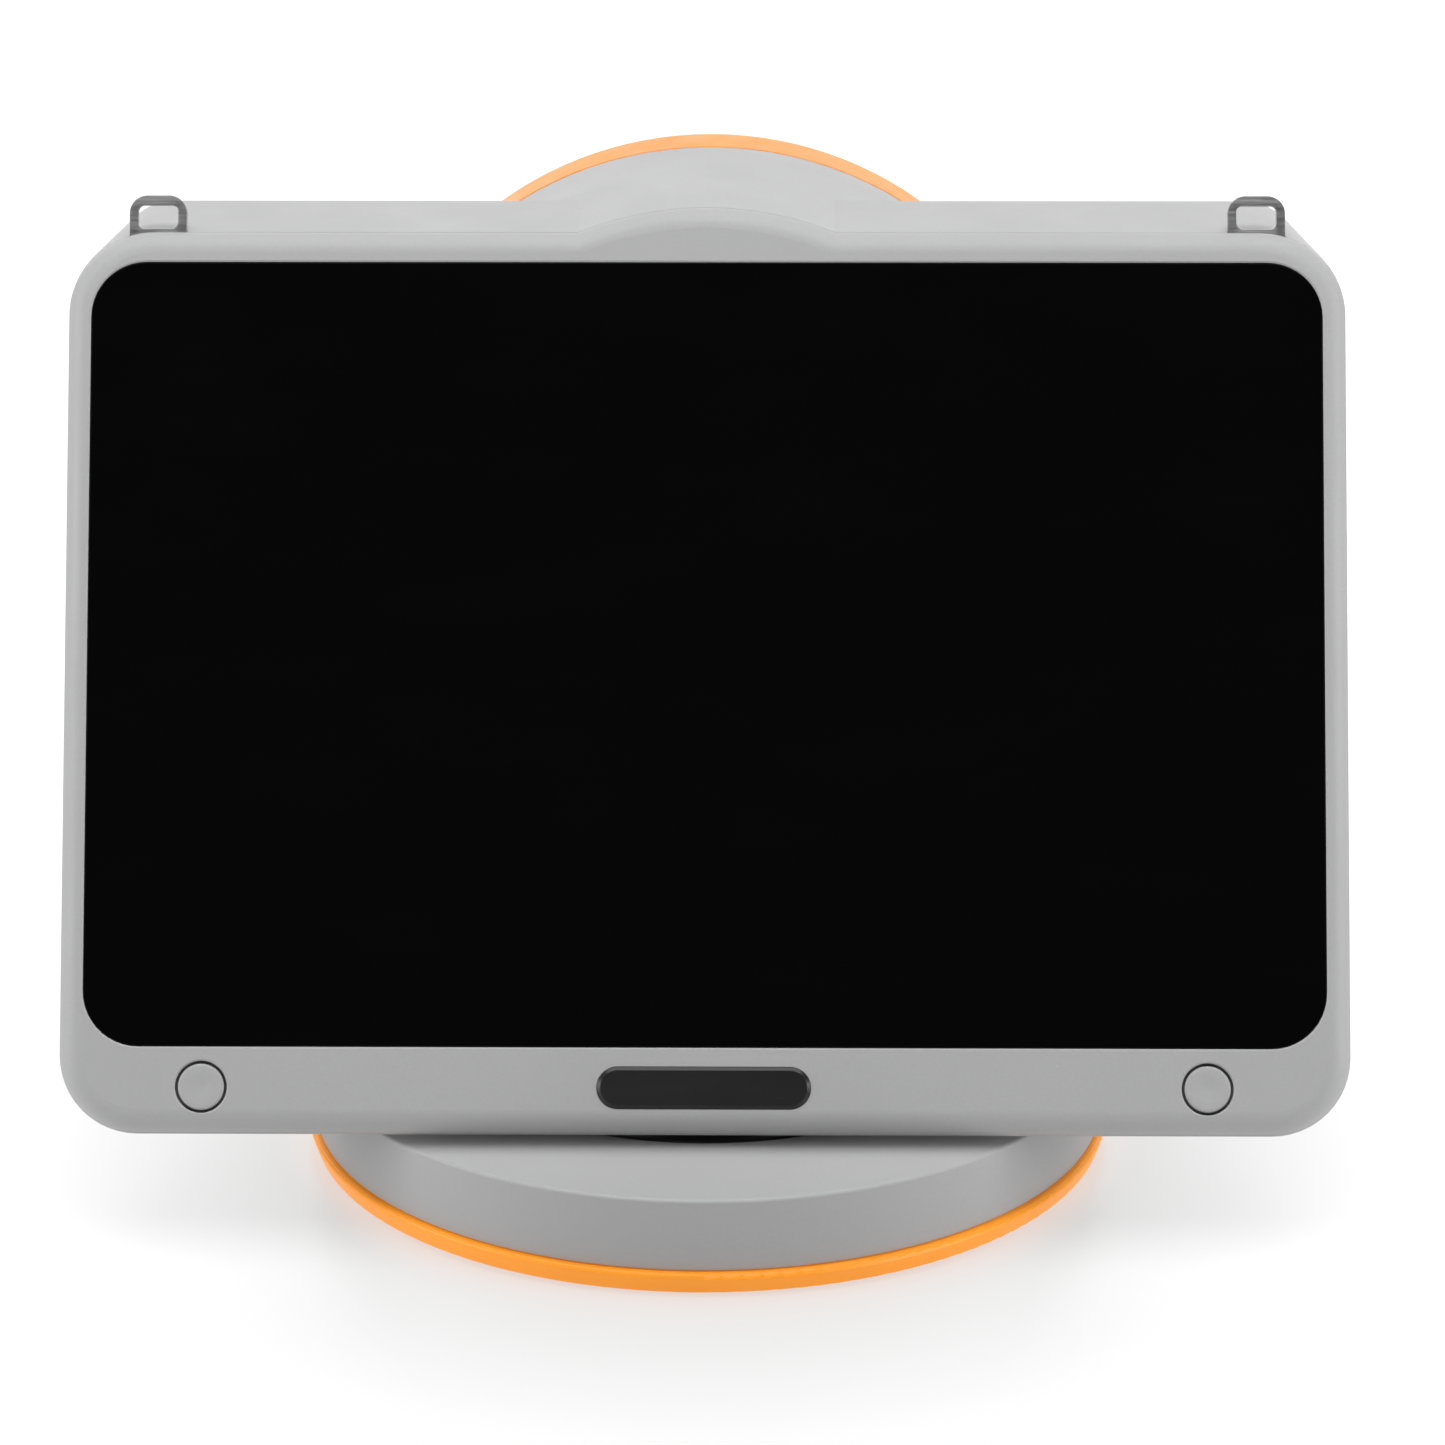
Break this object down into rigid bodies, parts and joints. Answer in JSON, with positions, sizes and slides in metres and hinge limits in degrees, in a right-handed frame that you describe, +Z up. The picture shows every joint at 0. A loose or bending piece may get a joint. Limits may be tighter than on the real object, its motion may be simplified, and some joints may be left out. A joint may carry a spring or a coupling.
{
  "type": "video magnifier",
  "caption": "Desktop video magnifier: leaning black display in a grey head with a round rear camera drum and orange ring, on a swivelling, tilting round base.",
  "frame": {"origin": "centre of the round base where it rests on the table", "axes": "+Z up, the display faces -Y and the camera drum faces +Y, +X is to the right of someone looking at the display"},
  "size_m": [0.3106, 0.2011, 0.2343],
  "materials": {
    "shell_grey": "fine-grain light grey moulding",
    "trim_orange": "satin orange moulding",
    "black_plastic": "satin black",
    "display_glass": "black-backed polished glass",
    "window_acrylic": "smoked polished acrylic",
    "lens_glass": "coated optical glass",
    "eyelet_metal": "dark grey satin metal",
    "steel": "plain steel",
    "aluminium": "machined",
    "cast_black": "black powder coat on cast metal",
    "rubber": "matt",
    "acetal": "natural",
    "foam_tape": "black foam",
    "circuit_board": "solder mask green",
    "brass": "plain",
    "battery_wrap": "shrink wrap",
    "lamp_epoxy": "tinted epoxy"
  },
  "bodies": {
    "base": {"base_cover": "shell_grey", "base_trim_ring": "trim_orange", "base_plate": "steel", "rubber_feet": "rubber", "base_screws": "steel", "swivel_glide_ring": "acetal"},
    "turntable": {"turntable_disc": "black_plastic", "swivel_stop_pin": "steel", "yoke_dowels": "steel", "tilt_yoke": "cast_black", "swivel_spindle": "steel", "thrust_washer": "steel", "spindle_nut": "steel", "tilt_pin": "steel", "pin_clip": "steel", "friction_washers": "acetal"},
    "head": {"battery_packs": "battery_wrap", "board_screws": "steel", "board_standoffs": "brass", "camera_plate": "aluminium", "camera_screws": "steel", "charging_port": "steel", "chassis_screws": "steel", "cover_glass": "display_glass", "display_chassis": "aluminium", "display_panel": "black_plastic", "drum_trim_ring": "trim_orange", "front_bezel": "shell_grey", "front_lens": "lens_glass", "glass_tape": "foam_tape", "heat_sink": "aluminium", "hinge_lug": "aluminium", "housing_screws": "steel", "lamp_board": "circuit_board", "lamps": "lamp_epoxy", "left_button_switch": "circuit_board", "left_strap_eyelet": "eyelet_metal", "lens_barrel": "aluminium", "lens_hood": "black_plastic", "lug_screws": "steel", "main_board": "circuit_board", "nameplate": "black_plastic", "port_board": "circuit_board", "rear_housing": "shell_grey", "rear_lens": "lens_glass", "rear_window": "window_acrylic", "right_button_switch": "circuit_board", "right_strap_eyelet": "eyelet_metal", "sensor_board": "circuit_board", "sensor_mount": "black_plastic", "window_gasket": "rubber"},
    "left_button": {"left_button": "shell_grey"},
    "right_button": {"right_button": "shell_grey"},
    "focus_cell": {"focus_carrier": "aluminium", "focus_lens": "lens_glass"}
  },
  "joints": [
    {"name": "swivel", "type": "hinge", "parent": "base", "child": "turntable", "pos_m": [0, 0, 0.0237], "axis": [0, 0, 1], "range_deg": [-90, 90]},
    {"name": "tilt", "type": "hinge", "parent": "turntable", "child": "head", "pos_m": [0, 0.008, 0.037], "axis": [-1, 0, 0], "range_deg": [0, 10]},
    {"name": "left_button_press", "type": "slide", "parent": "head", "child": "left_button", "axis": [0, 0.9063, -0.4226], "range_m": [0, 0.0008], "stiffness_N_per_m": 1200, "springref_m": -0.0008},
    {"name": "right_button_press", "type": "slide", "parent": "head", "child": "right_button", "axis": [0, 0.9063, -0.4226], "range_m": [0, 0.0008], "stiffness_N_per_m": 1200, "springref_m": -0.0008},
    {"name": "focus_slide", "type": "slide", "parent": "head", "child": "focus_cell", "axis": [0, 1, 0], "range_m": [-0.005, 0.005]}
  ]
}
